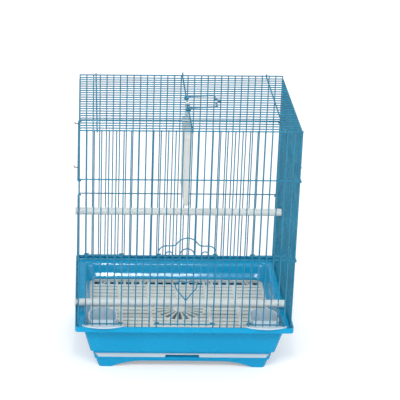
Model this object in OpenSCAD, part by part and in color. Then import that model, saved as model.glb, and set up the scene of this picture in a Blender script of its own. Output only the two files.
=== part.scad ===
// Bird travel carrier: a flat-topped wire cage body standing in the rim of a plastic base
// with a slide-out waste drawer. Millimetres. Origin on the floor at the middle of the
// object's outer box, +Z up, the doors towards -Y.

/* [Wire body] */
// Distance between neighbouring bars, middle to middle
bar_pitch = 11; // [10.5:0.25:12]
// Number of bar gaps across the front
gaps_wide = 30; // [28:2:34]
// Number of bar gaps from front to back
gaps_deep = 24; // [22:2:28]
// Height of the roof wires above the top of the base rim
body_h = 322.4; // [300:1:360]
// Diameter of the upright bars and of the roof wires
bar_d = 1.8; // [1.5:0.1:2.2]
// Diameter of the cross wires welded to the bars
cross_d = 2; // [1.6:0.1:2.3]
// Height of the middle cross wire above the rim
cross_mid_h = 245.3; // [235:1:260]
// Height of the lower cross wire above the rim
cross_low_h = 114.8; // [110:1:117]
// Radius of the bend between the roof and a side, to the wire's middle line
roof_bend_r = 3; // [2:0.5:4]

/* [Roof] */
// Diameter of the middle wire under the roof, which carries the handle and the swing
tie_d = 2.2; // [1.8:0.1:2.6]
// Distance of the roof's two welded cross wires from the sides of the wire body
roof_cross_inset = 26; // [25:0.5:30]
// Number of bar gaps between the arms of the carry handle
handle_gaps = 5; // [3:2:7]
// Reach of the carry handle from its hinge wire to its outer bar
handle_reach = 44; // [38:1:50]
// Half width of the point in the middle of the outer bar
handle_point_half = 9; // [7:1:12]
// Diameter of the carry handle's wire
handle_d = 2.5; // [2:0.1:3]

/* [Side hooks] */
// Diameter of a side hook's wire
hook_d = 1.4; // [1:0.1:1.8]
// Reach of a side hook outside the side's cross wire
hook_reach = 6; // [5:0.5:8]
// Height of a side hook's upturned end
hook_rise = 3; // [2.5:0.5:5]
// Bar gap, counted from the front, that holds the front hook
hook_front_gap = 5; // [3:1:6]
// Bar gap, counted from the back, that holds the back hook
hook_back_gap = 2; // [2:1:4]

/* [Doors] */
// Bar gaps covered by the main door
main_gaps = 8; // [8:2:10]
// Bar gaps covered by each feeder door
feeder_gaps = 5; // [5:1:6]
// Height of a door's lower cross wire above the rim
door_low_h = 5.2; // [4.8:0.2:7]
// Height of a door's upper cross wire above the rim
door_high_h = 122; // [120:0.5:126]
// Length of the tail of a door hook behind its guide bar
hook_tail = 4.5; // [3:0.5:7]
// Height of the ornament arch above the main door's upper cross wire
arch_h = 29.6; // [27:0.5:32]
// Height of the arch's shoulders
arch_shoulder_h = 16.7; // [14:0.5:18]
// Bend radius of the shoulders
arch_shoulder_r = 12; // [10:0.5:13]
// Bend radius of the arch's crown
arch_crown_r = 18; // [15:0.6:19.8]
// Bend radius where the crown's flanks meet the shoulders
arch_valley_r = 8; // [5:0.5:8.5]
// Height of the small arches that join the outer pairs of door bars
side_arch_h = 7; // [6.5:0.5:9]
// Bar gap, counted from the door's middle, that each small arch spans
side_arch_gap = 3; // [3:1:4]
// Height of the arch that joins the middle pair of door bars
mid_arch_h = 12; // [11.5:0.5:14]
// Height of the heart's lower tip above the rim
heart_tip_h = 47.4; // [40:1:52]
// Radius of each lobe of the heart, to the wire's middle line
heart_lobe_r = 8.5; // [7:0.5:10]
// Length of the heart's straight sides
heart_side = 24.5; // [22:0.5:25]

/* [Perches] */
// Diameter of both perches
perch_d = 12; // [11:0.5:13]
// Diameter of a perch's neck between two bars
perch_neck_d = 8; // [6.5:0.5:8.2]
// Length of a perch head outside the wire body
perch_head = 3; // [2:0.5:5]
// Bar gap, counted from the front, that holds the upper perch
upper_perch_gap = 17; // [17:1:19]
// Bar gap, counted from the front, that holds the lower perch
lower_perch_gap = 7; // [7:1:9]

/* [Swing] */
// Drop of the swing's perch below the roof wires
swing_drop = 150; // [130:1:170]
// Inside width of the swing's frame
swing_w = 84; // [70:1:88]
// Width of the swing's strap at its shoulders
strap_w = 10.4; // [8:0.2:12]
// Width of the swing's strap beside the perch
strap_low_w = 8.6; // [7:0.2:10]
// Thickness of the swing's strap
strap_t = 2.6; // [2:0.1:3.2]
// Corner radius of the swing's frame, outside
swing_r = 20; // [12:1:30]
// Drop of the top of the swing's frame below the roof wires
swing_neck_h = 30; // [25:1:40]
// Width of the swing's neck
neck_w = 5.4; // [4.5:0.1:6.5]
// Thickness of the neck and the hook, from front to back
neck_t = 4; // [3:0.2:5]
// Diameter of the swing's own perch
swing_perch_d = 9; // [8:0.5:10]
// Diameter of that perch's end pins
swing_pin_d = 4.6; // [3.6:0.2:5]

/* [Base] */
// Height of the base's rim above the floor
base_h = 88; // [86:0.5:94]
// Thickness of the rim's upstanding lip
lip_t = 1.7; // [1.4:0.1:2.2]
// Depth of the channel that the wire body stands in
channel_h = 6; // [5.5:0.5:8]
// Thickness of the channel's floor
shelf_t = 2.4; // [2:0.1:3]
// Radius of the rim's corners
rim_r = 6; // [5:0.5:9]
// Distance from the rim's outer face to the top of the tub's wall
tub_inset = 12.5; // [11:0.5:13]
// Height of the tub's underside above the floor
tub_low_z = 34; // [33.5:0.5:37]
// How far the tub's wall leans in between its top and its underside
tub_lean = 11.4; // [8:0.2:13]
// Wall thickness of the tub and the plinth
wall_t = 2.5; // [2:0.1:3]
// Distance from the tub's lower edge to the plinth's top edge
plinth_inset = 3.6; // [3:0.2:5]
// How far the plinth's ends lean in between its top and its step
plinth_lean = 3.6; // [2:0.2:4]
// Height of the plinth's step above the floor
step_z = 17; // [16.6:0.1:17.4]
// Depth of the plinth's step
step_in = 1.4; // [1:0.2:2]
// How far the feet lean in between the step and the floor
foot_lean = 5; // [3:0.2:6]
// Length of a foot's sole from the corner
foot_l = 20; // [16:1:30]
// Height of the arch between two feet
foot_arch_h = 12.6; // [10:0.2:14]
// Bend radius of the arch's ends
foot_arch_r = 115; // [60:5:120]

/* [Drawer] */
// Height of the drawer's underside above the floor
drawer_z = 20.5; // [20.2:0.1:21]
// Height of the drawer
drawer_h = 8; // [7:0.2:9]
// Gap between the drawer front's upper corners and the plinth's ends
drawer_end = 3; // [2:0.2:5]
// How far the drawer front's ends slant in
drawer_slant = 7; // [5:0.5:9]
// Wall thickness of the drawer
drawer_t = 1.8; // [1.4:0.1:2.2]
// Width of the finger notch in the drawer's front
notch_w = 56; // [40:1:70]
// Height of the finger notch
notch_h = 4.2; // [2:0.2:5]
// Depth of the pocket behind the notch
pocket_l = 11; // [6:1:11]
// Thickness of the rails under the drawer
rail_t = 2.2; // [1.8:0.1:2.4]
// Width of the rails under the drawer
rail_w = 14; // [10:1:18]
// Thickness of the ribs that guide the tray's sides
guide_t = 1.8; // [1.4:0.1:2.2]

/* [Floor grate] */
// Height of the grate's top face above the floor
grate_z = 54; // [52:0.5:56]
// Thickness of the grate
grate_t = 4; // [3:0.2:5]
// Width of the grate's border
grate_border = 6; // [4:0.5:8]
// Distance between the grate's slats, middle to middle
slat_pitch = 12.8; // [11:0.2:15]
// Width of a slat
slat_w = 8.6; // [7:0.2:9.5]
// Distance between the ribs of the front and back rows of windows
window_pitch = 13.4; // [12:0.2:16]
// Depth of those windows from front to back
window_l = 16; // [12:0.5:18]
// Width of the ribs between the windows
window_rib = 4; // [3:0.2:5]
// Radius of the round medallion in the middle
medal_r = 42; // [36:1:46]
// Number of rays cut through the medallion
rays = 20; // [12:2:28]

/* [Feeder cups] */
// Outer width of a cup's body
cup_w = 45; // [40:1:45]
// Depth of a cup's body from front to back
cup_l = 47; // [40:1:48]
// Corner radius of a cup's straight front
cup_corner_r = 4; // [3.6:0.2:6]
// Height of a cup's body under its lip
cup_h = 29; // [20:1:30]
// Wall thickness of a cup
cup_t = 1.6; // [1.2:0.1:2.2]
// Width of the lip in front of the bars
lip_w = 65; // [62:1:68]
// Reach of the lip in front of the bars
lip_reach = 10.4; // [9:0.2:12]
// Thickness of the lip
lip_h = 2.2; // [1.6:0.1:2.6]

/* [Clearances] */
// Gap between a moving piece and what it slides or turns on
fit_gap = 0.3; // [0.2:0.05:0.4]
// Gap between pieces that only rest on each other
seat_gap = 0.2; // [0.1:0.05:0.3]
// Depth by which two welded wires sink into each other
weld = 0.2; // [0.1:0.05:0.3]

/* [Hidden] */
$fn = 24;

wire_blue = [0.18, 0.52, 0.71];
base_blue = [0.1, 0.58, 0.82];
soft_white = [0.87, 0.88, 0.87];
steel = [0.35, 0.4, 0.44];

// Slanting runs of wire stand at the slope of a 3-4-5 triangle
slant_low = 3 / 5;
slant_high = 4 / 5;

// Wire radii, and the layers of wire outside the bars: the panel's own cross wires, then
// a door's cross wires, then the door's bars, then the heart on the main door
bar_r = bar_d / 2;
cross_r = cross_d / 2;
tie_r = tie_d / 2;
handle_r = handle_d / 2;
cross_off = bar_r + cross_r - weld;
curl_r = bar_r + cross_r + seat_gap;
door_cross_off = bar_r + cross_r + fit_gap;
door_bar_off = cross_off + cross_r + fit_gap + bar_r;
heart_off = door_bar_off + bar_d - weld;
curl_drop = cross_d + fit_gap;

// Heights of the wire body
roof_z = base_h + body_h;
mid_z = base_h + cross_mid_h;
low_z = base_h + cross_low_h;
sill_z = base_h - cross_r - seat_gap;
foot_z = base_h - channel_h + seat_gap;
roof_cross_z = roof_z - cross_off;
top_cross_z = roof_cross_z + cross_d + seat_gap;

// The middle wire hangs just under the roof wires and beside the middle bar
tie_z = roof_z - bar_r - tie_r - seat_gap;
tie_x = bar_r + tie_r + fit_gap;
back_loop_extra = 0.9;
tie_loop_r = top_cross_z - tie_z;
tie_back_loop_r = tie_loop_r + back_loop_extra;
tie_tail = 1.5;

// Plan. The wire body's middle lies a little behind the origin, because the cups' lips
// reach further forward than the rim or the middle wire's loop reaches back.
body_w = bar_pitch * gaps_wide;
body_d = bar_pitch * gaps_deep;
rim_over = curl_r + cross_r + seat_gap + lip_t;
back_reach = max(rim_over, cross_off + tie_back_loop_r + tie_r);
mid_y = (lip_reach - back_reach) / 2;
front_y = mid_y - body_d / 2;
back_y = mid_y + body_d / 2;
side_x = body_w / 2 + curl_r - cross_off;
side_cross_x = side_x + cross_off;

// Doors
main_half_w = bar_pitch * main_gaps / 2;
feeder_half_w = bar_pitch * feeder_gaps / 2;
feeder_x = body_w / 2 - bar_pitch - feeder_half_w;
door_foot_z = base_h + door_low_h - cross_d;
door_low_z = base_h + door_low_h;
door_high_z = base_h + door_high_h;

// Base, from the rim down to the floor
rim_half_w = body_w / 2 + rim_over;
rim_half_d = body_d / 2 + rim_over;
shelf_z = base_h - channel_h;
skirt_z = shelf_z - shelf_t;
lean_rate = tub_lean / (skirt_z - tub_low_z);
plinth_out = tub_inset + tub_lean + plinth_inset;
step_out = plinth_out + plinth_lean;
foot_out = step_out + step_in;
drawer_top_z = drawer_z + drawer_h;
corner_steps = 6;
arch_steps = 8;
bow_steps = 20;
lip_tip = 0.6;
skin = 0.01;
past = 1;
knuckle_t = 0.1;
lug_spread = 0.7;
lug_w = 5;
lug_l = 12;

// Drawer
drawer_half_w = rim_half_w - plinth_out - drawer_end;
tray_half_w = drawer_half_w - drawer_slant - guide_t - fit_gap;
tray_front_y = mid_y - rim_half_d + step_out;
tray_back_y = mid_y + rim_half_d - step_out - wall_t - fit_gap;

// Perches
upper_perch_z = low_z - curl_drop + cross_r + seat_gap + perch_neck_d / 2;
lower_perch_z = base_h + seat_gap + perch_d / 2;
perch_in_x = side_x - bar_r - seat_gap;
perch_out_x = side_cross_x + cross_r + seat_gap;

// Swing and handle turn about the middle wire, between two roof wires
swing_y = mid_y - bar_pitch / 2;
swing_bottom = swing_drop - (roof_z - tie_z);
swing_top = swing_neck_h - (roof_z - tie_z);
hook_r = tie_r + fit_gap + strap_t / 2;
hook_turn = 220;
handle_half_w = bar_pitch * handle_gaps / 2;
eye_r = tie_r + fit_gap + handle_r;
handle_point_r = 3;
handle_rise = roof_z + bar_r + fit_gap + handle_r - tie_z;

function bar_x(k) = (k - gaps_wide / 2) * bar_pitch;
function bar_y(k) = front_y + k * bar_pitch;
function tub_half(half, z) = half - tub_inset - lean_rate * (skirt_z - z);
function unit(v) = v / norm(v);
function left_of(v) = [-v[1], v[0]];
function cross2(a, b) = a[0] * b[1] - a[1] * b[0];

// ---------- wires ----------

module wire_x(d, a, b, y, z) {
    translate([a, y, z]) rotate([0, 90, 0]) cylinder(d = d, h = b - a);
}

module wire_z(d, a, b, x, y) {
    translate([x, y, a]) cylinder(d = d, h = b - a);
}

module arc(d, r, a, turn) {
    rotate([0, 0, min(a, a + turn)]) rotate_extrude(angle = abs(turn))
        translate([r, 0]) circle(d = d);
}

// Flat knuckle over a joint where a wire runs on in a slanting direction
module knuckle(d, at) {
    translate(at) cylinder(d = d + 3 * knuckle_t, h = d + knuckle_t, center = true);
}

// Wire bent through the points of a path in the XY plane, with one bend radius for each
// inner point. A straight run next to a bend that isn't square has a knuckle over each end.
module bent_wire(d, pts, radii) {
    last = len(pts) - 1;
    way = [for (i = [0:last - 1]) unit(pts[i + 1] - pts[i])];
    turn = [for (i = [0:last]) i == 0 || i == last ? 0 :
        atan2(cross2(way[i - 1], way[i]), way[i - 1] * way[i])];
    cut = [for (i = [0:last]) i == 0 || i == last ? 0 : radii[i - 1] * tan(abs(turn[i]) / 2)];
    odd = [for (a = turn) a != 0 && abs(abs(a) - 90) > skin];
    for (i = [0:last - 1]) {
        slack = odd[i] || odd[i + 1] ? knuckle_t : 0;
        low = cut[i] + (i > 0 ? slack : 0);
        high = cut[i + 1] + (i < last - 1 ? slack : 0);
        span = norm(pts[i + 1] - pts[i]) - low - high;
        if (span > skin) translate(pts[i] + way[i] * low)
            rotate([0, 90, atan2(way[i][1], way[i][0])]) cylinder(d = d, h = span);
        if (slack > 0 && i > 0) knuckle(d, pts[i] + way[i] * cut[i]);
        if (slack > 0 && i < last - 1) knuckle(d, pts[i + 1] - way[i] * cut[i + 1]);
    }
    for (i = [1:last - 1]) {
        out = -sign(turn[i]) * left_of(way[i - 1]);
        middle = pts[i] - way[i - 1] * cut[i] - out * radii[i - 1];
        translate(middle) arc(d, radii[i - 1], atan2(out[1], out[0]), turn[i]);
    }
}

// Turns the XY plane of a path into the XZ plane at depth y
module upright(y) {
    translate([0, y, 0]) rotate([90, 0, 0]) children();
}

// Turns the XY plane of a path into the YZ plane at x
module sideways(x) {
    translate([x, 0, 0]) rotate([90, 0, 90]) children();
}

// ---------- outlines ----------

function fan(at, r, low, high, steps) =
    [for (i = [0:steps]) at + r * [cos(low + (high - low) * i / steps), sin(low + (high - low) * i / steps)]];

function round_box(w, d, r) = concat(
    fan([w - r, d - r], r, 0, 90, corner_steps), fan([r - w, d - r], r, 90, 180, corner_steps),
    fan([r - w, r - d], r, 180, 270, corner_steps), fan([w - r, r - d], r, 270, 360, corner_steps));

module plate(half_w, half_d, r, low, high) {
    translate([0, mid_y, low]) linear_extrude(high - low) polygon(round_box(half_w, half_d, r));
}

// Box whose walls lean in by lean from high down to low
module leaning(half_w, half_d, r, low, high, lean) {
    hull() {
        plate(half_w, half_d, r, high - skin, high);
        plate(half_w - lean, half_d - lean, r, low, low + skin);
    }
}

// Outline of the gap between two feet: flat in the middle, with a bend down to each foot
function arch_half(half, s) = [for (i = [0:arch_steps]) let(a = asin(s / foot_arch_r) * (1 - i / arch_steps))
    [half - s + foot_arch_r * sin(a), foot_arch_h - foot_arch_r * (1 - cos(a))]];

module foot_arch(half) {
    s = sqrt(pow(foot_arch_r, 2) - pow(foot_arch_r - foot_arch_h, 2));
    right = arch_half(half, s);
    left = [for (i = [arch_steps:-1:0]) [-right[i][0], right[i][1]]];
    polygon(concat([[half, -past]], right, left, [[-half, -past]]));
}

// ---------- base ----------

module base_tub() color(base_blue) {
    difference() {
        union() {
            plate(rim_half_w, rim_half_d, rim_r, skirt_z, base_h);
            leaning(tub_half(rim_half_w, skirt_z), tub_half(rim_half_d, skirt_z), rim_r,
                tub_low_z, skirt_z, tub_lean);
            leaning(rim_half_w - plinth_out, rim_half_d - plinth_out, rim_r,
                step_z, tub_low_z, plinth_lean);
            leaning(rim_half_w - foot_out, rim_half_d - foot_out, rim_r,
                0, step_z, foot_lean);
        }
        rim_channel();
        tub_inside();
        plinth_inside();
        drawer_slot();
        translate([0, mid_y, 0]) foot_arches();
    }
    grate_lugs();
    tray_guides();
}

module rim_channel() {
    plate(rim_half_w - lip_t, rim_half_d - lip_t, rim_r - lip_t, shelf_z, base_h + past);
}

module tub_inside() {
    low = tub_low_z + wall_t;
    high = shelf_z + past;
    leaning(tub_half(rim_half_w, high) - wall_t, tub_half(rim_half_d, high) - wall_t,
        rim_r - wall_t, low, high, lean_rate * (high - low));
}

// The drawer's bay, the well above it and the open space between the feet
module plinth_inside() {
    bay_w = rim_half_w - step_out - wall_t;
    bay_d = rim_half_d - step_out - wall_t;
    foot_in = foot_out + foot_lean + wall_t;
    plate(bay_w, bay_d, rim_r - wall_t, drawer_z - fit_gap, tub_low_z);
    plate(bay_w - rail_w, bay_d - rail_w, rim_r, drawer_z - rail_t - past, tub_low_z + wall_t + past);
    plate(rim_half_w - foot_in, rim_half_d - foot_in, rim_r - wall_t,
        -past, drawer_z - fit_gap - rail_t);
}

module drawer_outline(grow) {
    top = drawer_half_w + grow;
    low = drawer_half_w - drawer_slant + grow;
    polygon([[-low, drawer_z - grow], [low, drawer_z - grow],
        [top, drawer_top_z + grow], [-top, drawer_top_z + grow]]);
}

module drawer_slot() {
    translate([0, tray_front_y + wall_t + past, 0]) rotate([90, 0, 0])
        linear_extrude(wall_t + past + plinth_lean + past) drawer_outline(fit_gap);
}

module foot_arches() {
    half_w = rim_half_w - foot_out - foot_lean - foot_l;
    half_d = rim_half_d - foot_out - foot_lean - foot_l;
    rotate([90, 0, 0]) linear_extrude(2 * rim_half_d, center = true) foot_arch(half_w);
    rotate([90, 0, 90]) linear_extrude(2 * rim_half_w, center = true) foot_arch(half_d);
}

// Lugs on the tub's floor that carry the grate
module grate_lugs() {
    low = tub_low_z + wall_t;
    high = grate_z - grate_t - seat_gap;
    x = tub_half(rim_half_w, low) - wall_t;
    y = tub_half(rim_half_d, low) - wall_t;
    for (sx = [-1, 1], sy = [-1, 0, 1])
        translate([sx * (x - lug_w / 2), mid_y + sy * y * lug_spread, (low + high) / 2])
            cube([lug_w, lug_l, high - low + skin], center = true);
}

module tray_guides() {
    bay_d = rim_half_d - step_out - wall_t;
    z = drawer_z - fit_gap - skin;
    for (s = [-1, 1])
        translate([s * (tray_half_w + fit_gap + guide_t / 2) - guide_t / 2, mid_y - bay_d + guide_t, z])
            cube([guide_t, 2 * bay_d - 2 * guide_t, drawer_h - drawer_t]);
}

module waste_drawer() color(soft_white) {
    back = tray_back_y - tray_front_y;
    difference() {
        union() {
            translate([0, tray_front_y + wall_t, 0]) rotate([90, 0, 0])
                linear_extrude(wall_t) drawer_outline(0);
            translate([-tray_half_w, tray_front_y, drawer_z])
                cube([2 * tray_half_w, back, drawer_h]);
        }
        difference() {
            translate([-tray_half_w + drawer_t, tray_front_y + wall_t, drawer_z + drawer_t])
                cube([2 * (tray_half_w - drawer_t), back - wall_t - drawer_t, drawer_h]);
            finger_pocket(drawer_t);
        }
        finger_pocket(0);
    }
}

// Pocket behind the notch in the drawer's front, with its walls when grow is their thickness
module finger_pocket(grow) {
    half = notch_w / 2 + grow;
    in = notch_h / 2;
    translate([0, tray_front_y + pocket_l + grow, 0]) rotate([90, 0, 0])
        linear_extrude(pocket_l + grow + past) polygon([
            [-half, drawer_z - past], [half, drawer_z - past],
            [half - in, drawer_z + notch_h + grow], [in - half, drawer_z + notch_h + grow]]);
}

// ---------- floor grate ----------

grate_half_w = tub_half(rim_half_w, grate_z - grate_t) - wall_t - seat_gap;
grate_half_d = tub_half(rim_half_d, grate_z - grate_t) - wall_t - seat_gap;
window_y = grate_half_d - grate_border - window_l / 2;
field_half_d = grate_half_d - 2 * grate_border - window_l;
field_half_w = grate_half_w - grate_border;

module floor_grate() color(soft_white)
    translate([0, mid_y, grate_z - grate_t]) linear_extrude(grate_t) difference() {
        polygon(round_box(grate_half_w, grate_half_d, rim_r - wall_t));
        for (s = [-1, 1]) translate([0, s * window_y]) windows();
        difference() {
            slots();
            circle(r = medal_r, $fn = 48);
        }
        medallion_rays();
    }

module windows() {
    count = floor(field_half_w / window_pitch);
    open_w = window_pitch - window_rib;
    slant_every = 5;
    for (i = [-count:count]) translate([i * window_pitch, 0]) difference() {
        square([open_w, window_l], center = true);
        if (abs(i) % slant_every == slant_every - 1) rotate(sign(i) * atan2(open_w, window_l))
            square([window_rib / 2, 2 * window_l], center = true);
    }
}

// Slots between the slats, broken by ribs that run from front to back
module slots() {
    rows = floor((field_half_d - slat_pitch / 2) / slat_pitch);
    bays = 3;
    bay = (2 * field_half_w + grate_border) / (2 * bays);
    for (i = [-rows - 1:rows], j = [-bays:bays - 1])
        translate([(j + 0.5) * bay, (i + 0.5) * slat_pitch])
            square([bay - grate_border, slat_pitch - slat_w], center = true);
}

module medallion_rays() {
    hub_r = medal_r / 4;
    end_r = medal_r - grate_border / 2;
    near = hub_r * PI / rays / 2;
    wide = medal_r * PI / rays / 2;
    for (i = [0:rays - 1]) rotate(i * 360 / rays)
        polygon([[hub_r, -near], [end_r, -wide], [end_r, wide], [hub_r, near]]);
}

// ---------- wire body ----------

// The door openings: bars strictly inside them stop at the lower cross wire
function in_door(x) = abs(x) < main_half_w - skin || abs(abs(x) - feeder_x) < feeder_half_w - skin;

module cross_wires(y, heights) {
    for (z = heights) wire_x(cross_d, -body_w / 2 - bar_r, body_w / 2 + bar_r, y, z);
}

module front_panel() color(wire_blue) {
    for (k = [0:gaps_wide])
        wire_z(bar_d, in_door(bar_x(k)) ? low_z - cross_r : foot_z, top_cross_z, bar_x(k), front_y);
    cross_wires(front_y - cross_off, [top_cross_z, mid_z, low_z, sill_z]);
}

module back_panel() color(wire_blue) {
    for (k = [0:gaps_wide]) wire_z(bar_d, foot_z, top_cross_z, bar_x(k), back_y);
    cross_wires(back_y + cross_off, [top_cross_z, mid_z, low_z, sill_z]);
}

// Bars of the left side, with cross wires whose ends curl round the corner bars
module left_panel() color(wire_blue) {
    x = body_w / 2;
    for (k = [1:gaps_deep - 1]) wire_z(bar_d, foot_z, roof_z - roof_bend_r, -side_x, bar_y(k));
    for (z = [mid_z, low_z, sill_z]) translate([0, 0, z - curl_drop]) bent_wire(cross_d, [
        [curl_r - x, front_y + bar_r], [curl_r - x, front_y - curl_r], [-curl_r - x, front_y - curl_r],
        [-curl_r - x, back_y + curl_r], [curl_r - x, back_y + curl_r], [curl_r - x, back_y - bar_r]
    ], [curl_r, curl_r, curl_r, curl_r]);
}

module right_panel() mirror([1, 0, 0]) left_panel();

module roof_panel() color(wire_blue) {
    for (k = [1:gaps_deep - 1]) upright(bar_y(k)) bent_wire(bar_d, [
        [-side_x, roof_z - roof_bend_r], [-side_x, roof_z],
        [side_x, roof_z], [side_x, roof_z - roof_bend_r]
    ], [roof_bend_r, roof_bend_r]);
    loop_r = top_cross_z - roof_cross_z;
    for (s = [-1, 1]) sideways(s * (body_w / 2 - roof_cross_inset))
        looped_wire(cross_d, roof_cross_z, loop_r, loop_r);
}

// Wire from front to back whose ends loop up and over the panels' top cross wires
module looped_wire(d, z, front_loop, back_loop) {
    f = front_y - cross_off;
    b = back_y + cross_off;
    bent_wire(d, [
        [f + tie_tail, z + 2 * front_loop], [f - front_loop, z + 2 * front_loop], [f - front_loop, z],
        [b + back_loop, z], [b + back_loop, z + 2 * back_loop], [b - tie_tail, z + 2 * back_loop]
    ], [front_loop, front_loop, back_loop, back_loop]);
}

module middle_roof_wire() color(wire_blue)
    sideways(tie_x) looped_wire(tie_d, tie_z, tie_loop_r, tie_back_loop_r);

// Two small hooks that hang on the side's middle cross wire
module left_side_hooks() color(steel) {
    r = cross_r + hook_d / 2 + seat_gap;
    for (y = [bar_y(hook_front_gap - 0.5), bar_y(gaps_deep - hook_back_gap + 0.5)])
        translate([-side_cross_x, y, mid_z - curl_drop]) rotate([90, 0, 0]) bent_wire(hook_d, [
            [-hook_reach, r + hook_rise], [-hook_reach, r], [r, r], [r, -r], [-r / 2, -r]
        ], [hook_d, r, r]);
}

module right_side_hooks() mirror([1, 0, 0]) left_side_hooks();

// ---------- doors ----------

// Cross wire of a door: its ends turn round the guide bars and end in short tails
module door_cross(half, z) {
    o = door_cross_off;
    translate([0, front_y, z]) bent_wire(cross_d, [
        [hook_tail - half, o], [-half - o, o], [-half - o, -o],
        [half + o, -o], [half + o, o], [half - hook_tail, o]
    ], [o, o, o, o]);
}

module door_bars(gaps, top) {
    for (i = [0:gaps]) let(x = (i - gaps / 2) * bar_pitch)
        wire_z(bar_d, door_foot_z, top, x, front_y - door_bar_off);
}

module feeder_door(x) color(wire_blue) translate([x, 0, 0]) {
    door_bars(feeder_gaps, door_high_z + cross_d);
    door_cross(feeder_half_w, door_low_z);
    door_cross(feeder_half_w, door_high_z);
}

module left_feeder_door() feeder_door(-feeder_x);

module right_feeder_door() feeder_door(feeder_x);

module main_door() color(wire_blue) {
    door_bars(main_gaps, door_high_z);
    door_cross(main_half_w, door_low_z);
    door_cross(main_half_w, door_high_z);
    upright(front_y - door_bar_off) {
        ornament_arch();
        bar_arch(0, bar_pitch, mid_arch_h);
        for (s = [-1, 1]) bar_arch(s * (side_arch_gap - 0.5) * bar_pitch, bar_pitch / 2, side_arch_h);
    }
    upright(front_y - heart_off) heart();
}

// Arch over the whole door: round shoulders, then a crown between two valleys
module ornament_arch() {
    peak = arch_h + arch_crown_r * (1 / slant_low - 1);
    valley_x = (peak - arch_shoulder_h) * slant_low / slant_high;
    translate([0, door_high_z]) bent_wire(bar_d, [
        [-main_half_w, 0], [-main_half_w, arch_shoulder_h], [-valley_x, arch_shoulder_h], [0, peak],
        [valley_x, arch_shoulder_h], [main_half_w, arch_shoulder_h], [main_half_w, 0]
    ], [arch_shoulder_r, arch_valley_r, arch_crown_r, arch_valley_r, arch_shoulder_r]);
}

// Small arch that joins the tops of two door bars
module bar_arch(x, r, h) {
    translate([x, door_high_z]) bent_wire(bar_d, [[-r, 0], [-r, h], [r, h], [r, 0]], [r, r]);
}

module heart() {
    lobe = heart_side * [slant_low, slant_high] + heart_lobe_r * [-slant_high, slant_low];
    slope = atan2(slant_low, slant_high);
    notch = 180 - acos(lobe[0] / heart_lobe_r);
    translate([0, base_h + heart_tip_h]) {
        knuckle(bar_d, [0, 0]);
        knuckle(bar_d, [0, lobe[1] + sqrt(pow(heart_lobe_r, 2) - pow(lobe[0], 2))]);
        for (s = [0, 1]) mirror([s, 0, 0]) {
            translate(lobe) arc(bar_d, heart_lobe_r, -slope, notch + slope);
            rotate(-slope) {
                knuckle(bar_d, [0, heart_side]);
                rotate([-90, 0, 0]) translate([0, 0, knuckle_t])
                    cylinder(d = bar_d, h = heart_side - 2 * knuckle_t);
            }
        }
    }
}

// ---------- cups and perches ----------

function inner_wall_y(z) = mid_y - tub_half(rim_half_d, z) + wall_t;

cup_top_z = base_h + seat_gap + lip_h;
cup_low_z = cup_top_z - lip_h - cup_h;
cup_front_y = inner_wall_y(cup_low_z) + fit_gap;

// Plan of the cup's body: straight in front, round behind
module cup_plan(in) {
    back_y = cup_front_y + cup_l - cup_w / 2;
    half = cup_w / 2 - cup_corner_r;
    front_corner_y = cup_front_y + cup_corner_r;
    polygon(concat(
        fan([0, back_y], cup_w / 2 - in, 0, 180, bow_steps),
        fan([-half, front_corner_y], cup_corner_r - in, 180, 270, corner_steps),
        fan([half, front_corner_y], cup_corner_r - in, 270, 360, corner_steps)));
}

// Plan of the lip: a shallow bow in front of the bars, joined to the cup by a neck
module lip_plan() {
    back = front_y - bar_r - fit_gap;
    deep = lip_reach - bar_r - fit_gap - lip_tip;
    r = (pow(lip_w / 2, 2) + pow(deep, 2)) / (2 * deep);
    a = asin(lip_w / 2 / r);
    neck = cup_w / 2 - cup_corner_r;
    polygon(concat(
        fan([0, front_y - lip_reach + r], r, 270 - a, 270 + a, bow_steps),
        [[lip_w / 2, back], [neck, back], [neck, cup_front_y + cup_t / 2],
            [-neck, cup_front_y + cup_t / 2], [-neck, back], [-lip_w / 2, back]]));
}

module cup(x) color(soft_white) translate([x, 0, 0]) difference() {
    union() {
        translate([0, 0, cup_low_z]) linear_extrude(cup_h) cup_plan(0);
        translate([0, 0, cup_top_z - lip_h]) linear_extrude(lip_h) {
            cup_plan(0);
            lip_plan();
        }
    }
    translate([0, 0, cup_low_z + cup_t]) linear_extrude(cup_top_z - cup_low_z) cup_plan(cup_t);
}

module left_cup() cup(-feeder_x);

module right_cup() cup(feeder_x);

// Rod with a neck where it passes between two bars, and a head outside each side
module perch(gap, z) color(soft_white) {
    y = bar_y(gap - 0.5);
    wire_x(perch_d, -perch_in_x, perch_in_x, y, z);
    wire_x(perch_neck_d, -perch_out_x - skin, perch_out_x + skin, y, z);
    for (s = [-1, 1]) translate([s * (perch_out_x + perch_head / 2), y, z])
        rotate([0, 90, 0]) cylinder(d = perch_d, h = perch_head, center = true);
}

module upper_perch() perch(upper_perch_gap, upper_perch_z);

module lower_perch() perch(lower_perch_gap, lower_perch_z);

// ---------- swing ----------

// The frame's outline seen from the side, in by the strap's thickness for its inside
module swing_outline(in) {
    half = swing_w / 2 + strap_t - in;
    r = swing_r - in;
    hull() {
        for (s = [-1, 1]) translate([s * (half - r), -swing_top - in - r]) circle(r = r, $fn = 32);
        translate([-half, -swing_bottom]) square([2 * half, strap_t]);
    }
}

// The frame's outline seen from the front: a strap with round shoulders under a neck
module strap_outline() {
    half = strap_w / 2;
    r = half - neck_w / 2;
    low = strap_low_w / 2;
    hull() {
        for (s = [-1, 1]) translate([s * (half - r), -swing_top - r]) circle(r = r, $fn = 32);
        translate([-low, -swing_bottom]) square([2 * low, strap_t]);
    }
    translate([0, -swing_bottom]) circle(r = low + strap_t / 2, $fn = 32);
}

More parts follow.
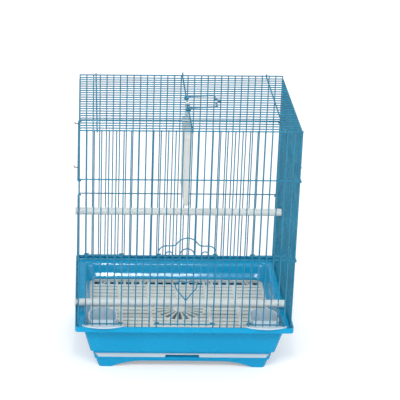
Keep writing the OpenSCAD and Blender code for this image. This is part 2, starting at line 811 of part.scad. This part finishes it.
module swing_hook() {
    upright(neck_t / 2) linear_extrude(neck_t) {
        translate([-hook_r - strap_t / 2, -neck_w]) square([strap_t, neck_w]);
        translate([-hook_r - strap_t / 2, -swing_top - strap_t / 2])
            square([neck_w, swing_top + strap_t / 2 - neck_w + strap_t]);
    }
    upright(neck_t / 2) mirror([0, 1, 0]) rotate([0, 0, 180]) rotate_extrude(angle = hook_turn)
        translate([hook_r - strap_t / 2, 0]) square([strap_t, neck_t]);
}

module swing_frame() color(soft_white) translate([tie_x, swing_y, tie_z]) {
    difference() {
        intersection() {
            rotate([90, 0, 90]) linear_extrude(2 * strap_w, center = true) difference() {
                swing_outline(0);
                swing_outline(strap_t);
                translate([-swing_w / 2, -swing_bottom - past]) square([swing_w, swing_r]);
            }
            rotate([90, 0, 0]) linear_extrude(2 * swing_w, center = true) strap_outline();
        }
        translate([0, 0, -swing_bottom]) rotate([90, 0, 0])
            cylinder(d = swing_pin_d + 2 * fit_gap, h = 2 * swing_w, center = true);
    }
    swing_hook();
}

module swing_perch() color(soft_white) translate([tie_x, swing_y, tie_z - swing_bottom])
    rotate([90, 0, 0]) {
        cylinder(d = swing_perch_d, h = swing_w - 2 * fit_gap, center = true);
        cylinder(d = swing_pin_d, h = swing_w + 2 * strap_t, center = true);
    }

// ---------- carry handle ----------

// Bail folded flat to the right: an open eye on each end, round corners and a point in
// the middle of the outer bar. Drawn in the plane that its arms lie in.
module carry_handle() color(wire_blue) {
    far = norm([handle_reach, eye_r]);
    tilt = asin(handle_rise / far) - atan2(eye_r, handle_reach);
    tip = handle_reach + handle_point_half * slant_low / slant_high;
    half = handle_half_w;
    bend = 2 * handle_d;
    eye_turn = 270;
    translate([tie_x, mid_y, tie_z]) rotate([0, -tilt, 0]) {
        translate([0, 0, eye_r]) bent_wire(handle_d, [
            [0, -half], [handle_reach, -half], [handle_reach, -handle_point_half], [tip, 0],
            [handle_reach, handle_point_half], [handle_reach, half], [0, half]
        ], [bend, handle_point_r, handle_point_r, handle_point_r, bend]);
        for (s = [-1, 1]) translate([0, s * half, 0]) rotate([90, 0, 0])
            arc(handle_d, eye_r, 90, eye_turn);
    }
}

base_tub();
floor_grate();
waste_drawer();
front_panel();
back_panel();
left_panel();
right_panel();
roof_panel();
middle_roof_wire();
left_side_hooks();
right_side_hooks();
main_door();
left_feeder_door();
right_feeder_door();
left_cup();
right_cup();
upper_perch();
lower_perch();
swing_frame();
swing_perch();
carry_handle();
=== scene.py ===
"""Bird travel carrier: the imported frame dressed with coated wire, moulded plastic, weld
beads and a plain studio."""
import math

import bpy
from mathutils import Matrix, Vector


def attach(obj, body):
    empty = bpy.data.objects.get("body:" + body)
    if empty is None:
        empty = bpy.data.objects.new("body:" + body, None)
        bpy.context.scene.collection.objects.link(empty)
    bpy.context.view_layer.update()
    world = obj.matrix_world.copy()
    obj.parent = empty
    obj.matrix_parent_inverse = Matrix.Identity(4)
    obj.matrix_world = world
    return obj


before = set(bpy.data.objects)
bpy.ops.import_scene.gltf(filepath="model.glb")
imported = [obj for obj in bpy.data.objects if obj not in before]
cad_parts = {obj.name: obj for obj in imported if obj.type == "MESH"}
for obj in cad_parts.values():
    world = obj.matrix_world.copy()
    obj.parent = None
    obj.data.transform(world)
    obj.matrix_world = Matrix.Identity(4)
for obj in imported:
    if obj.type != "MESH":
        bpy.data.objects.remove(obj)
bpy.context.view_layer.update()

MM = 0.001

# The wire body, as the frame has it
BAR_PITCH = 11 * MM
BAR_RADIUS = 0.9 * MM
GAPS_WIDE = 30
GAPS_DEEP = 24
MIDDLE_Y = 2 * MM
RIM_TOP = 88 * MM
ROOF_Z = RIM_TOP + 322.4 * MM
TOP_CROSS_Z = ROOF_Z + 0.5 * MM
MIDDLE_CROSS_Z = RIM_TOP + 245.3 * MM
LOWER_CROSS_Z = RIM_TOP + 114.8 * MM
SIDE_CROSS_DROP = 2.3 * MM
SIDE_X = 165.4 * MM
ROOF_CROSS_X = 139 * MM
FRONT_Y = MIDDLE_Y - BAR_PITCH * GAPS_DEEP / 2
BACK_Y = MIDDLE_Y + BAR_PITCH * GAPS_DEEP / 2

# The lifting doors: their cross wires, their bars' distance from the front panel's bars
DOOR_CROSS_Z = (RIM_TOP + 5.2 * MM, RIM_TOP + 122 * MM)
DOOR_BAR_OFF = 3.1 * MM
MAIN_DOOR_GAPS = 8
FEEDER_DOOR_GAPS = 5
FEEDER_DOOR_X = 126.5 * MM

# How deep a weld bead sinks into its wire
BEAD_SINK = 0.1 * MM

# Inside of the tub: half its width and depth under the rim, and how fast its walls lean in
SKIRT_Z = 79.6 * MM
TUB_LEAN_RATE = 0.25
TUB_INNER_HALF_W = 155 * MM
TUB_INNER_HALF_D = 122 * MM
TUB_INNER_CORNER = 3.4 * MM
GRATE_TOP_Z = 54 * MM

# The step round the tub's wall: how far it stands off the wall below and above its slope, how
# deep its back is sunk, the slope as heights and distances off the wall in mm, the radius of
# its corners, its front end and the length over which it fades out there
STEP_OUT_LOW = 3.1 * MM
STEP_OUT_HIGH = 0.2 * MM
STEP_SINK = 0.2 * MM
STEP_FOOT = ((56, 3.1), (57, 3.08), (57.6, 2.98), (58.2, 2.8))
STEP_SLOPE = ((60, 2.01), (62, 1.13))
STEP_HEAD = ((63.4, 0.52), (64, 0.32), (64.6, 0.22), (65.6, 0.2), (74, 0.2))
STEP_CORNER = 15 * MM
STEP_FRONT_Y = -61 * MM
STEP_FADE = 20 * MM

# Camera of the photograph: place, tilt and roll, and the lens in pixels of the picture
CAMERA_PLACE = (-162 * MM, -2359 * MM, 1213 * MM)
CAMERA_TILT = 22.29
CAMERA_ROLL = 0.42
PICTURE_PIXELS = 400
FOCAL_PIXELS = 1602
CENTRE_PIXEL_X = 81.1
SENSOR_WIDTH = 36

# Studio
FLOOR_HALF = 12.0
FLOOR_GREY = 0.78
FLOOR_GLOW = 0.30
ROOM_LIGHT = 0.62

# Colours, linear
WIRE_BLUE = (0.008, 0.205, 0.335)
WIRE_BLUE_DEEP = (0.006, 0.150, 0.260)
BASE_BLUE = (0.000, 0.320, 0.590)
BASE_BLUE_DEEP = (0.000, 0.290, 0.550)
PERCH_WHITE = (0.63, 0.68, 0.68)
SWING_WHITE = (0.65, 0.67, 0.65)
CUP_WHITE = (0.49, 0.61, 0.69)
DRAWER_WHITE = (0.46, 0.56, 0.62)
GRATE_WHITE = (0.57, 0.62, 0.60)
DULL_STEEL = (0.045, 0.085, 0.105)


# ---------- camera and studio ----------

def aim_camera():
    """Camera of the photograph: a long lens a little above the roof, tilted down."""
    tilt = math.radians(CAMERA_TILT)
    roll = math.radians(CAMERA_ROLL)
    forward = Vector((0, math.cos(tilt), -math.sin(tilt)))
    level_up = Vector((0, math.sin(tilt), math.cos(tilt)))
    right = Vector((math.cos(roll), 0, 0)) + level_up * math.sin(roll)
    up = level_up * math.cos(roll) - Vector((math.sin(roll), 0, 0))
    data = bpy.data.cameras.new("camera")
    data.sensor_width = SENSOR_WIDTH
    data.lens = SENSOR_WIDTH * FOCAL_PIXELS / PICTURE_PIXELS
    data.shift_x = (PICTURE_PIXELS / 2 - CENTRE_PIXEL_X) / PICTURE_PIXELS
    data.clip_end = 50
    camera = bpy.data.objects.new("camera", data)
    turn = Matrix((right, up, -forward)).transposed().to_4x4()
    camera.matrix_world = Matrix.Translation(CAMERA_PLACE) @ turn
    bpy.context.scene.collection.objects.link(camera)
    bpy.context.scene.camera = camera


def add_softbox(name, place, target, size, watts):
    """Rectangular lamp at place that faces target."""
    data = bpy.data.lights.new(name, "AREA")
    data.shape = "RECTANGLE"
    data.size, data.size_y = size
    data.energy = watts
    lamp = bpy.data.objects.new(name, data)
    lamp.location = place
    lamp.rotation_euler = (Vector(target) - Vector(place)).to_track_quat("-Z", "Y").to_euler()
    bpy.context.scene.collection.objects.link(lamp)


def white_for_the_eye(nodes, links, shader, strength):
    """Adds light of its own to a background, for rays from the camera, gloss and clear
    pieces only, and returns the sum."""
    path = nodes.new("ShaderNodeLightPath")
    seen = nodes.new("ShaderNodeMath")
    seen.operation = "MAXIMUM"
    links.new(path.outputs["Is Camera Ray"], seen.inputs[0])
    links.new(path.outputs["Is Glossy Ray"], seen.inputs[1])
    either = nodes.new("ShaderNodeMath")
    either.operation = "MAXIMUM"
    links.new(seen.outputs[0], either.inputs[0])
    links.new(path.outputs["Is Transmission Ray"], either.inputs[1])
    amount = nodes.new("ShaderNodeMath")
    amount.operation = "MULTIPLY"
    amount.inputs[1].default_value = strength
    links.new(either.outputs[0], amount.inputs[0])
    glow = nodes.new("ShaderNodeEmission")
    links.new(amount.outputs[0], glow.inputs["Strength"])
    both = nodes.new("ShaderNodeAddShader")
    links.new(shader, both.inputs[0])
    links.new(glow.outputs[0], both.inputs[1])
    return both.outputs[0]


def fill_the_room():
    """Even light from all round, and pure white where the camera looks past the floor."""
    world = bpy.data.worlds.new("studio")
    bpy.context.scene.world = world
    world.use_nodes = True
    nodes, links = world.node_tree.nodes, world.node_tree.links
    nodes.clear()
    path = nodes.new("ShaderNodeLightPath")
    soft = nodes.new("ShaderNodeBackground")
    soft.inputs["Color"].default_value = (1, 1, 1, 1)
    soft.inputs["Strength"].default_value = ROOM_LIGHT
    white = nodes.new("ShaderNodeBackground")
    white.inputs["Color"].default_value = (1, 1, 1, 1)
    mix = nodes.new("ShaderNodeMixShader")
    out = nodes.new("ShaderNodeOutputWorld")
    links.new(path.outputs["Is Camera Ray"], mix.inputs["Fac"])
    links.new(soft.outputs[0], mix.inputs[1])
    links.new(white.outputs[0], mix.inputs[2])
    links.new(mix.outputs[0], out.inputs["Surface"])


def lay_the_floor():
    half = FLOOR_HALF
    mesh = bpy.data.meshes.new("floor")
    mesh.from_pydata([(-half, -half, 0), (half, -half, 0), (half, half, 0), (-half, half, 0)],
                     [], [(0, 1, 2, 3)])
    floor = bpy.data.objects.new("floor", mesh)
    bpy.context.scene.collection.objects.link(floor)
    paper = bpy.data.materials.new("studio_paper")
    paper.use_nodes = True
    nodes, links = paper.node_tree.nodes, paper.node_tree.links
    nodes.clear()
    matt = nodes.new("ShaderNodeBsdfDiffuse")
    matt.inputs["Color"].default_value = (FLOOR_GREY, FLOOR_GREY, FLOOR_GREY, 1)
    out = nodes.new("ShaderNodeOutputMaterial")
    lit = white_for_the_eye(nodes, links, matt.outputs[0], FLOOR_GLOW)
    links.new(lit, out.inputs["Surface"])
    mesh.materials.append(paper)


def build_studio():
    """Room light, floor and lamps. The two strips make the streaks on the tub's step."""
    bpy.context.scene.view_settings.view_transform = "Standard"
    fill_the_room()
    lay_the_floor()
    add_softbox("key_softbox", (-1.3, -1.9, 2.0), (0, 0, 0.2), (1.2, 1.2), 32)
    add_softbox("fill_softbox", (1.7, -1.6, 1.2), (0, 0, 0.2), (1.2, 1.2), 16)
    add_softbox("low_softbox", (-0.4, -2.4, 0.35), (0, 0, 0.1), (0.8, 0.4), 2.5)
    add_softbox("left_strip", (-0.112, -1.6, 1.7), (-0.1, 0.12, 0.06), (0.11, 0.34), 8)
    add_softbox("middle_strip", (0.09, -1.6, 1.7), (0.05, 0.12, 0.06), (0.28, 0.16), 3)
    add_softbox("back_softbox", (0.2, 1.8, 1.9), (0, 0, 0.2), (1.4, 0.8), 16)


# ---------- effects that the finishes share ----------

def new_group(name, ins, outs):
    """Empty shader group. ins and outs are (name, socket type, default)."""
    group = bpy.data.node_groups.new(name, "ShaderNodeTree")
    for label, kind, value in ins:
        socket = group.interface.new_socket(label, in_out="INPUT", socket_type=kind)
        if value is not None:
            socket.default_value = value
    for label, kind, value in outs:
        group.interface.new_socket(label, in_out="OUTPUT", socket_type=kind)
    entry = group.nodes.new("NodeGroupInput")
    leave = group.nodes.new("NodeGroupOutput")
    return group, entry, leave


def mottle_group():
    """Slow drift of a colour between two shades, as in moulded plastic or dipped paint,
    with a fine fleck on top."""
    group, entry, leave = new_group("mottle", [
        ("Vector", "NodeSocketVector", None),
        ("Colour", "NodeSocketColor", (0.5, 0.5, 0.5, 1)),
        ("Deep colour", "NodeSocketColor", (0.4, 0.4, 0.4, 1)),
        ("Cloud scale", "NodeSocketFloat", 12.0),
        ("Fleck scale", "NodeSocketFloat", 900.0),
        ("Fleck amount", "NodeSocketFloat", 0.2),
    ], [("Colour", "NodeSocketColor", None)])
    n, l = group.nodes, group.links
    cloud = n.new("ShaderNodeTexNoise")
    cloud.inputs["Detail"].default_value = 4
    fleck = n.new("ShaderNodeTexNoise")
    fleck.inputs["Detail"].default_value = 2
    spread = n.new("ShaderNodeMapRange")
    spread.inputs["From Min"].default_value = 0.35
    spread.inputs["From Max"].default_value = 0.70
    part = n.new("ShaderNodeMath")
    part.operation = "MULTIPLY"
    total = n.new("ShaderNodeMath")
    total.operation = "ADD"
    total.use_clamp = True
    blend = n.new("ShaderNodeMix")
    blend.data_type = "RGBA"
    l.new(entry.outputs["Vector"], cloud.inputs["Vector"])
    l.new(entry.outputs["Cloud scale"], cloud.inputs["Scale"])
    l.new(entry.outputs["Vector"], fleck.inputs["Vector"])
    l.new(entry.outputs["Fleck scale"], fleck.inputs["Scale"])
    l.new(cloud.outputs["Fac"], spread.inputs["Value"])
    l.new(fleck.outputs["Fac"], part.inputs[0])
    l.new(entry.outputs["Fleck amount"], part.inputs[1])
    l.new(spread.outputs["Result"], total.inputs[0])
    l.new(part.outputs[0], total.inputs[1])
    l.new(total.outputs[0], blend.inputs[0])
    l.new(entry.outputs["Colour"], blend.inputs[6])
    l.new(entry.outputs["Deep colour"], blend.inputs[7])
    l.new(blend.outputs[2], leave.inputs["Colour"])
    return group


def scuff_group():
    """Fine scratches and rubbed patches: roughness that rises where hands and shelves
    have touched the surface, and the height of the scratches."""
    group, entry, leave = new_group("scuffs", [
        ("Vector", "NodeSocketVector", None),
        ("Base roughness", "NodeSocketFloat", 0.3),
        ("Patch scale", "NodeSocketFloat", 22.0),
        ("Patch amount", "NodeSocketFloat", 0.12),
        ("Scratch scale", "NodeSocketFloat", 160.0),
        ("Scratch amount", "NodeSocketFloat", 0.15),
    ], [("Roughness", "NodeSocketFloat", None), ("Height", "NodeSocketFloat", None)])
    n, l = group.nodes, group.links
    patch = n.new("ShaderNodeTexNoise")
    patch.inputs["Detail"].default_value = 5
    rubbed = n.new("ShaderNodeMapRange")
    rubbed.inputs["From Min"].default_value = 0.45
    rubbed.inputs["From Max"].default_value = 0.75
    patch_part = n.new("ShaderNodeMath")
    patch_part.operation = "MULTIPLY"
    lines = n.new("ShaderNodeTexVoronoi")
    lines.feature = "DISTANCE_TO_EDGE"
    stretch = n.new("ShaderNodeMapping")
    stretch.inputs["Rotation"].default_value = (0.4, 0.7, 0.3)
    stretch.inputs["Scale"].default_value = (1, 0.08, 1)
    thin = n.new("ShaderNodeMapRange")
    thin.inputs["From Min"].default_value = 0.0
    thin.inputs["From Max"].default_value = 0.018
    thin.inputs["To Min"].default_value = 1.0
    thin.inputs["To Max"].default_value = 0.0
    where = n.new("ShaderNodeMath")
    where.operation = "MULTIPLY"
    line_part = n.new("ShaderNodeMath")
    line_part.operation = "MULTIPLY"
    first = n.new("ShaderNodeMath")
    second = n.new("ShaderNodeMath")
    second.use_clamp = True
    l.new(entry.outputs["Vector"], patch.inputs["Vector"])
    l.new(entry.outputs["Patch scale"], patch.inputs["Scale"])
    l.new(patch.outputs["Fac"], rubbed.inputs["Value"])
    l.new(rubbed.outputs["Result"], patch_part.inputs[0])
    l.new(entry.outputs["Patch amount"], patch_part.inputs[1])
    l.new(entry.outputs["Vector"], stretch.inputs["Vector"])
    l.new(stretch.outputs["Vector"], lines.inputs["Vector"])
    l.new(entry.outputs["Scratch scale"], lines.inputs["Scale"])
    l.new(lines.outputs["Distance"], thin.inputs["Value"])
    l.new(thin.outputs["Result"], where.inputs[0])
    l.new(rubbed.outputs["Result"], where.inputs[1])
    l.new(where.outputs[0], line_part.inputs[0])
    l.new(entry.outputs["Scratch amount"], line_part.inputs[1])
    l.new(entry.outputs["Base roughness"], first.inputs[0])
    l.new(patch_part.outputs[0], first.inputs[1])
    l.new(first.outputs[0], second.inputs[0])
    l.new(line_part.outputs[0], second.inputs[1])
    l.new(second.outputs[0], leave.inputs["Roughness"])
    l.new(where.outputs[0], leave.inputs["Height"])
    return group


def skin_group():
    """Height of a fine moulded or dipped skin: a soft ripple and a close grain."""
    group, entry, leave = new_group("skin", [
        ("Vector", "NodeSocketVector", None),
        ("Ripple scale", "NodeSocketFloat", 60.0),
        ("Grain scale", "NodeSocketFloat", 1400.0),
        ("Grain share", "NodeSocketFloat", 0.3),
        ("Scratches", "NodeSocketFloat", 0.0),
    ], [("Height", "NodeSocketFloat", None)])
    n, l = group.nodes, group.links
    ripple = n.new("ShaderNodeTexNoise")
    ripple.inputs["Detail"].default_value = 2
    grain = n.new("ShaderNodeTexNoise")
    grain.inputs["Detail"].default_value = 3
    share = n.new("ShaderNodeMath")
    share.operation = "MULTIPLY"
    both = n.new("ShaderNodeMath")
    cut = n.new("ShaderNodeMath")
    cut.operation = "SUBTRACT"
    l.new(entry.outputs["Vector"], ripple.inputs["Vector"])
    l.new(entry.outputs["Ripple scale"], ripple.inputs["Scale"])
    l.new(entry.outputs["Vector"], grain.inputs["Vector"])
    l.new(entry.outputs["Grain scale"], grain.inputs["Scale"])
    l.new(grain.outputs["Fac"], share.inputs[0])
    l.new(entry.outputs["Grain share"], share.inputs[1])
    l.new(ripple.outputs["Fac"], both.inputs[0])
    l.new(share.outputs[0], both.inputs[1])
    l.new(both.outputs[0], cut.inputs[0])
    l.new(entry.outputs["Scratches"], cut.inputs[1])
    l.new(cut.outputs[0], leave.inputs["Height"])
    return group


MOTTLE = mottle_group()
SCUFFS = scuff_group()
SKIN = skin_group()


def put_group(material, group, values):
    """Places a shared effect in a material, with its values."""
    node = material.node_tree.nodes.new("ShaderNodeGroup")
    node.node_tree = group
    for label, value in values.items():
        node.inputs[label].default_value = value
    return node


def start_finish(name):
    """New material: its nodes, its links, the shader and the object's own coordinates."""
    material = bpy.data.materials.new(name)
    material.use_nodes = True
    nodes = material.node_tree.nodes
    shader = nodes["Principled BSDF"]
    place = nodes.new("ShaderNodeTexCoord")
    return material, nodes, material.node_tree.links, shader, place.outputs["Object"]


def dress_surface(name, colour, deep, mottle, scuffs, skin, bump, sockets):
    """A finish built of the three shared effects, with each one's values."""
    material, nodes, links, shader, place = start_finish(name)
    tone = put_group(material, MOTTLE, {"Colour": (*colour, 1), "Deep colour": (*deep, 1), **mottle})
    worn = put_group(material, SCUFFS, scuffs)
    close = put_group(material, SKIN, skin)
    for group in (tone, worn, close):
        links.new(place, group.inputs["Vector"])
    links.new(worn.outputs["Height"], close.inputs["Scratches"])
    relief = nodes.new("ShaderNodeBump")
    relief.inputs["Strength"].default_value = bump[0]
    relief.inputs["Distance"].default_value = bump[1]
    links.new(close.outputs["Height"], relief.inputs["Height"])
    links.new(tone.outputs["Colour"], shader.inputs["Base Color"])
    links.new(worn.outputs["Roughness"], shader.inputs["Roughness"])
    links.new(relief.outputs["Normal"], shader.inputs["Normal"])
    for label, value in sockets.items():
        shader.inputs[label].default_value = value
    return material


def coated_wire():
    """Glossy blue coating on steel wire."""
    return dress_surface(
        "coated_wire", WIRE_BLUE, WIRE_BLUE_DEEP,
        {"Cloud scale": 30.0, "Fleck scale": 1500.0, "Fleck amount": 0.25},
        {"Base roughness": 0.26, "Patch scale": 60.0, "Patch amount": 0.16,
         "Scratch scale": 500.0, "Scratch amount": 0.2},
        {"Ripple scale": 420.0, "Grain scale": 2600.0, "Grain share": 0.25},
        (0.25, 0.0004),
        {"Coat Weight": 0.1, "Coat Roughness": 0.12, "IOR": 1.5, "Specular IOR Level": 0.35})


def moulded_base(name, roughness, ripple, gloss):
    """Blue polypropylene with a slight moulded skin."""
    return dress_surface(
        name, BASE_BLUE, BASE_BLUE_DEEP,
        {"Cloud scale": 7.0, "Fleck scale": 700.0, "Fleck amount": 0.12},
        {"Base roughness": roughness, "Patch scale": 14.0, "Patch amount": 0.16,
         "Scratch scale": 90.0, "Scratch amount": 0.12},
        {"Ripple scale": ripple, "Grain scale": 1500.0, "Grain share": 0.16},
        (0.3, 0.0008),
        {"IOR": 1.49, **gloss})


def moulded_white(name, colour, roughness, subsurface=0.0):
    """White plastic whose tone drifts a little deeper in random clouds."""
    deep = tuple(c * 0.93 for c in colour)
    return dress_surface(
        name, colour, deep,
        {"Cloud scale": 16.0, "Fleck scale": 900.0, "Fleck amount": 0.2},
        {"Base roughness": roughness, "Patch scale": 30.0, "Patch amount": 0.14,
         "Scratch scale": 150.0, "Scratch amount": 0.16},
        {"Ripple scale": 70.0, "Grain scale": 1700.0, "Grain share": 0.2},
        (0.25, 0.0006),
        {"IOR": 1.5, "Subsurface Weight": subsurface, "Subsurface Scale": 0.003})


def drawn_steel():
    """Bare bent wire with draw lines along it."""
    material, nodes, links, shader, place = start_finish("drawn_steel")
    tone = put_group(material, MOTTLE, {
        "Colour": (*DULL_STEEL, 1), "Deep colour": (0.03, 0.06, 0.08, 1),
        "Cloud scale": 120.0, "Fleck scale": 2500.0, "Fleck amount": 0.3})
    worn = put_group(material, SCUFFS, {
        "Base roughness": 0.32, "Patch scale": 200.0, "Patch amount": 0.2,
        "Scratch scale": 900.0, "Scratch amount": 0.3})
    for group in (tone, worn):
        links.new(place, group.inputs["Vector"])
    relief = nodes.new("ShaderNodeBump")
    relief.inputs["Strength"].default_value = 0.3
    relief.inputs["Distance"].default_value = 0.0002
    links.new(worn.outputs["Height"], relief.inputs["Height"])
    links.new(tone.outputs["Colour"], shader.inputs["Base Color"])
    links.new(worn.outputs["Roughness"], shader.inputs["Roughness"])
    links.new(relief.outputs["Normal"], shader.inputs["Normal"])
    shader.inputs["Metallic"].default_value = 0.85
    return material


# ---------- weld beads ----------

def bead_tree(finish):
    """Puts a small flattened bead on every point that comes in."""
    tree = bpy.data.node_groups.new("weld_beads", "GeometryNodeTree")
    face = tree.interface
    face.new_socket("Geometry", in_out="INPUT", socket_type="NodeSocketGeometry")
    for label, value in (("Bead radius", 1.3 * MM), ("Flatness", 0.72)):
        socket = face.new_socket(label, in_out="INPUT", socket_type="NodeSocketFloat")
        socket.default_value = value
    socket = face.new_socket("Thin axis", in_out="INPUT", socket_type="NodeSocketVector")
    socket.default_value = (0, 1, 0)
    face.new_socket("Geometry", in_out="OUTPUT", socket_type="NodeSocketGeometry")
    n, l = tree.nodes, tree.links
    entry = n.new("NodeGroupInput")
    leave = n.new("NodeGroupOutput")
    bead = n.new("GeometryNodeMeshIcoSphere")
    bead.inputs["Subdivisions"].default_value = 2
    smooth = n.new("GeometryNodeSetShadeSmooth")
    spot = n.new("GeometryNodeInstanceOnPoints")
    squeeze = n.new("ShaderNodeVectorMath")
    squeeze.operation = "SCALE"
    lean = n.new("ShaderNodeMath")
    lean.operation = "SUBTRACT"
    lean.inputs[0].default_value = 1.0
    full = n.new("ShaderNodeVectorMath")
    full.operation = "SUBTRACT"
    full.inputs[0].default_value = (1, 1, 1)
    whole = n.new("GeometryNodeRealizeInstances")
    paint = n.new("GeometryNodeSetMaterial")
    paint.inputs["Material"].default_value = finish
    l.new(entry.outputs["Bead radius"], bead.inputs["Radius"])
    l.new(bead.outputs["Mesh"], smooth.inputs["Geometry"])
    l.new(entry.outputs["Geometry"], spot.inputs["Points"])
    l.new(smooth.outputs["Geometry"], spot.inputs["Instance"])
    l.new(entry.outputs["Flatness"], lean.inputs[1])
    l.new(entry.outputs["Thin axis"], squeeze.inputs[0])
    l.new(lean.outputs[0], squeeze.inputs["Scale"])
    l.new(squeeze.outputs["Vector"], full.inputs[1])
    l.new(full.outputs["Vector"], spot.inputs["Scale"])
    l.new(spot.outputs["Instances"], whole.inputs["Geometry"])
    l.new(whole.outputs["Geometry"], paint.inputs["Geometry"])
    l.new(paint.outputs["Geometry"], leave.inputs["Geometry"])
    return tree


def bars_across(gaps):
    """Places of the bars of a panel or door that is so many gaps wide, about its middle."""
    return [(k - gaps / 2) * BAR_PITCH for k in range(gaps + 1)]


def set_input(modifier, label, value):
    """Sets a named input of a modifier by its socket's identifier."""
    for item in modifier.node_group.interface.items_tree:
        if item.in_out == "INPUT" and item.name == label:
            modifier[item.identifier] = value


def weld_on(name, body, points, thin_axis, tree):
    """Beads on the crossings of one panel or door, as one mesh that rides on its body."""
    seeds = bpy.data.meshes.new(name + "_points")
    seeds.from_pydata(points, [], [])
    source = bpy.data.objects.new(name + "_points", seeds)
    bpy.context.scene.collection.objects.link(source)
    grow = source.modifiers.new("beads", "NODES")
    grow.node_group = tree
    set_input(grow, "Thin axis", thin_axis)
    graph = bpy.context.evaluated_depsgraph_get()
    mesh = bpy.data.meshes.new_from_object(source.evaluated_get(graph))
    mesh.name = name
    source.modifiers.remove(grow)
    bpy.data.objects.remove(source)
    beads = bpy.data.objects.new(name, mesh)
    bpy.context.scene.collection.objects.link(beads)
    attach(beads, body)


def weld_the_cage(finish):
    tree = bead_tree(finish)
    wall = (0, 1, 0)
    touch = BAR_RADIUS - BEAD_SINK
    across = bars_across(GAPS_WIDE)
    deep = [MIDDLE_Y + y for y in bars_across(GAPS_DEEP)[1:-1]]
    rows = (TOP_CROSS_Z, MIDDLE_CROSS_Z, LOWER_CROSS_Z)
    weld_on("front_welds", "carrier", [(x, FRONT_Y - touch, z) for x in across for z in rows],
            wall, tree)
    weld_on("back_welds", "carrier", [(x, BACK_Y + touch, z) for x in across for z in rows],
            wall, tree)
    side_rows = [z - SIDE_CROSS_DROP for z in rows[1:]]
    weld_on("side_welds", "carrier",
            [(s * (SIDE_X + touch), y, z) for s in (-1, 1) for y in deep for z in side_rows],
            (1, 0, 0), tree)
    weld_on("roof_welds", "carrier",
            [(s * ROOF_CROSS_X, y, ROOF_Z - touch) for s in (-1, 1) for y in deep],
            (0, 0, 1), tree)
    door_y = FRONT_Y - DOOR_BAR_OFF
    for name, body, middle, gaps in (
            ("main_door_welds", "main_door", 0.0, MAIN_DOOR_GAPS),
            ("left_door_welds", "left_door", -FEEDER_DOOR_X, FEEDER_DOOR_GAPS),
            ("right_door_welds", "right_door", FEEDER_DOOR_X, FEEDER_DOOR_GAPS)):
        crossings = [(middle + x, door_y, z) for x in bars_across(gaps) for z in DOOR_CROSS_Z]
        weld_on(name, body, crossings, wall, tree)


# ---------- inside of the tub ----------

def wall_path(z, off, corner):
    """Points along the tub's inner wall at height z: up the left side, round the back and
    down the right side, at a distance off the wall that fades out at both ends."""
    side_points, corner_points, back_points = 10, 12, 24
    lean = TUB_LEAN_RATE * (SKIRT_Z - z)
    half_w = TUB_INNER_HALF_W - lean
    back = MIDDLE_Y + TUB_INNER_HALF_D - lean
    corner_x = half_w - corner
    corner_y = back - corner
    left = []
    for k in range(side_points):
        y = STEP_FRONT_Y + (corner_y - STEP_FRONT_Y) * k / side_points
        fade = min(1.0, (y - STEP_FRONT_Y) / STEP_FADE)
        left.append((-half_w + off * fade, y))
    for k in range(corner_points + 1):
        turn = math.pi / 2 * k / corner_points
        left.append((-corner_x - (corner - off) * math.cos(turn),
                     corner_y + (corner - off) * math.sin(turn)))
    across = [(-corner_x + 2 * corner_x * k / back_points, back - off)
              for k in range(1, back_points)]
    return left + across + [(-x, y) for x, y in reversed(left)]


def step_section():
    """Section of the step, as pairs of height and distance off the wall: a low wall, a slope
    with rounded ends, and a skin up to the rim. Its back is sunk in the tub's wall."""
    low = GRATE_TOP_Z + 0.3 * MM
    top = SKIRT_Z + 2 * MM
    slope = [(z * MM, off * MM) for z, off in STEP_FOOT + STEP_SLOPE + STEP_HEAD]
    return [(low, -STEP_SINK), (low, STEP_OUT_LOW), *slope, (top, STEP_OUT_HIGH), (top, -STEP_SINK)]


def line_the_tub(finish):
    """The rounded step that runs round the inside of the tub's wall, and its soft corners."""
    section = step_section()
    rows = [wall_path(z, off, STEP_CORNER if off > 0 else TUB_INNER_CORNER) for z, off in section]
    verts = [(x, y, z) for (z, _), row in zip(section, rows) for x, y in row]
    count, length = len(rows), len(rows[0])
    faces = []
    for i in range(count):
        j = (i + 1) % count
        for k in range(length - 1):
            faces.append((i * length + k, i * length + k + 1, j * length + k + 1, j * length + k))
    walls = (count - 1) * (length - 1)
    faces.append(tuple(i * length for i in range(count)))
    faces.append(tuple(i * length + length - 1 for i in reversed(range(count))))
    mesh = bpy.data.meshes.new("tub_wall_step")
    mesh.from_pydata(verts, [], faces)
    for face in mesh.polygons[:walls]:
        face.use_smooth = True
    mesh.materials.append(finish)
    liner = bpy.data.objects.new("tub_wall_step", mesh)
    bpy.context.scene.collection.objects.link(liner)
    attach(liner, "carrier")


# ---------- dressing ----------

def give(finish, *nodes):
    for node in nodes:
        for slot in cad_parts[node].material_slots:
            slot.material = finish


aim_camera()
build_studio()

wire = coated_wire()
give(wire, "front_panel", "back_panel", "left_panel", "right_panel", "roof_panel",
     "middle_roof_wire", "main_door", "left_feeder_door", "right_feeder_door", "carry_handle")
satin = {"Specular IOR Level": 0.22}
polished = {"Specular IOR Level": 0.3, "Coat Weight": 0.8, "Coat Roughness": 0.07}
give(moulded_base("moulded_base", 0.24, 28.0, satin), "base_tub")
line_the_tub(moulded_base("glossy_inside", 0.22, 14.0, polished))
give(moulded_white("grate_white", GRATE_WHITE, 0.42), "floor_grate")
give(moulded_white("drawer_white", DRAWER_WHITE, 0.34), "waste_drawer")
give(moulded_white("cup_white", CUP_WHITE, 0.28, 0.15), "left_cup", "right_cup")
give(moulded_white("perch_white", PERCH_WHITE, 0.30), "upper_perch", "lower_perch")
give(moulded_white("swing_white", SWING_WHITE, 0.30), "swing_frame", "swing_perch")
give(drawn_steel(), "left_side_hooks", "right_side_hooks")
weld_the_cage(wire)
